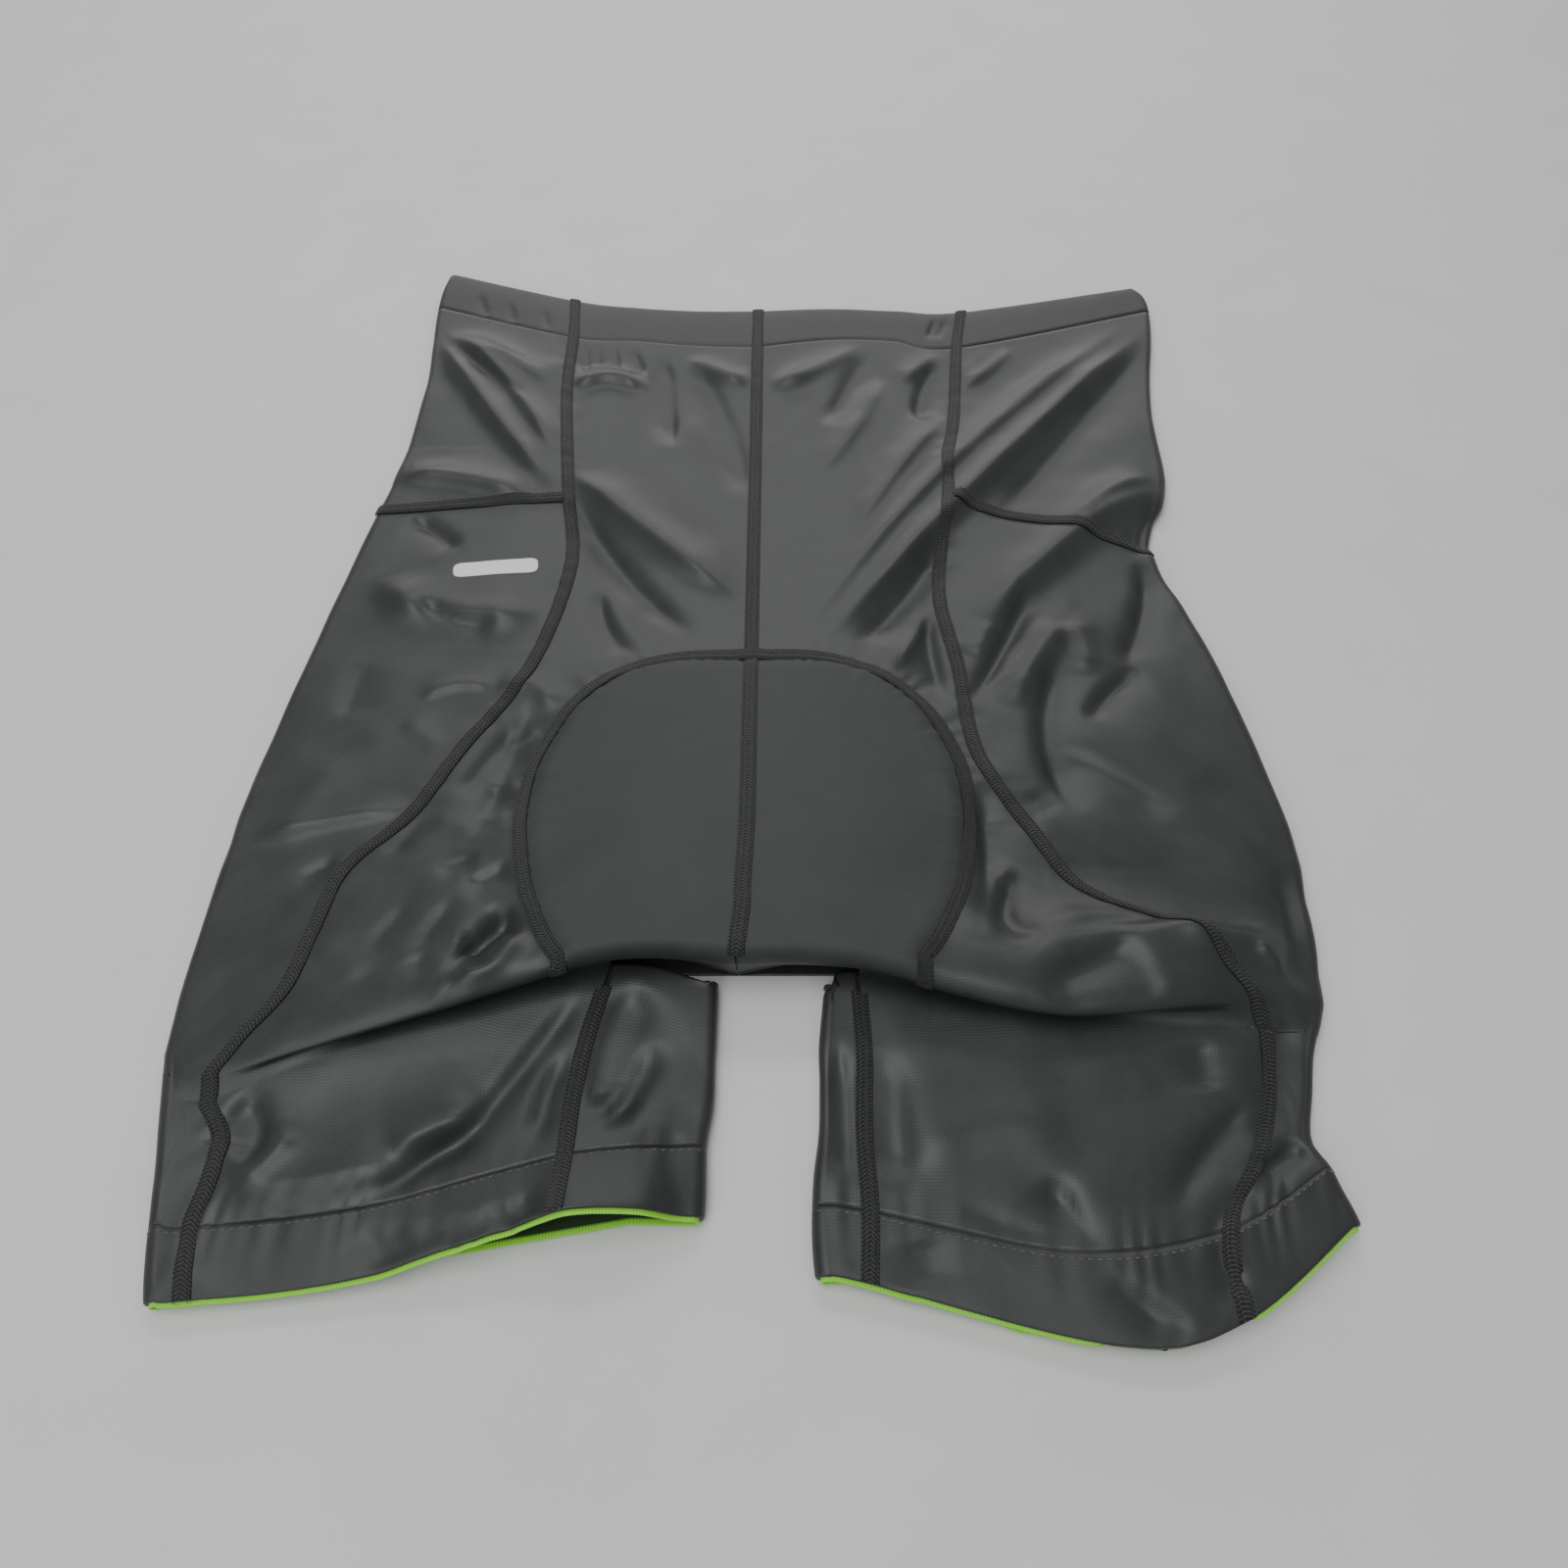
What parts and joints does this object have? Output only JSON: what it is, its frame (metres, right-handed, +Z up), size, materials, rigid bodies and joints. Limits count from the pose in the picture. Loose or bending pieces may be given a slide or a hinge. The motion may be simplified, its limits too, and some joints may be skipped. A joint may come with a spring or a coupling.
{
  "type": "cycling shorts laid flat",
  "caption": "Black padded cycling shorts laid flat, back side up, with flat seams, a turned waistband and lime leg grippers",
  "frame": {"origin": "the middle of the footprint, on the surface that the shorts lie on", "axes": "+Y runs from the leg hems to the waist, +X to the viewer's right, +Z up out of the back side, which faces up"},
  "size_m": [0.4162, 0.5478, 0.0297],
  "materials": {
    "waistband": "satin black knit, turned double",
    "back_left": "satin black nylon and elastane knit",
    "back_right": "satin black nylon and elastane knit",
    "hip_left": "satin black nylon and elastane knit",
    "hip_right": "satin black nylon and elastane knit",
    "side_left": "satin black nylon and elastane knit",
    "side_right": "satin black nylon and elastane knit",
    "inner_left": "satin black nylon and elastane knit",
    "inner_right": "satin black nylon and elastane knit",
    "front_left": "satin black nylon and elastane knit",
    "front_right": "satin black nylon and elastane knit",
    "hem_left": "satin black knit, turned double",
    "hem_right": "satin black knit, turned double",
    "gripper_left": "lime green elastic tape with a matte silicone net",
    "gripper_right": "lime green elastic tape with a matte silicone net",
    "seat_pad": "matte brushed foam pad cover",
    "seam_centre_back": "matte cover-stitched flat seam in black thread",
    "seam_pad": "matte cover-stitched flat seam in black thread",
    "seam_side_left": "matte cover-stitched flat seam in black thread",
    "seam_side_right": "matte cover-stitched flat seam in black thread",
    "seam_yoke_left": "matte cover-stitched flat seam in black thread",
    "seam_yoke_right": "matte cover-stitched flat seam in black thread",
    "seam_inner_left": "matte cover-stitched flat seam in black thread",
    "seam_inner_right": "matte cover-stitched flat seam in black thread"
  },
  "bodies": {
    "root": {"waistband": "waistband", "back_left": "back_left", "back_right": "back_right", "hip_left": "hip_left", "hip_right": "hip_right", "side_left": "side_left", "side_right": "side_right", "inner_left": "inner_left", "inner_right": "inner_right", "front_left": "front_left", "front_right": "front_right", "hem_left": "hem_left", "hem_right": "hem_right", "gripper_left": "gripper_left", "gripper_right": "gripper_right", "seat_pad": "seat_pad", "seam_centre_back": "seam_centre_back", "seam_pad": "seam_pad", "seam_side_left": "seam_side_left", "seam_side_right": "seam_side_right", "seam_yoke_left": "seam_yoke_left", "seam_yoke_right": "seam_yoke_right", "seam_inner_left": "seam_inner_left", "seam_inner_right": "seam_inner_right"}
  },
  "joints": []
}
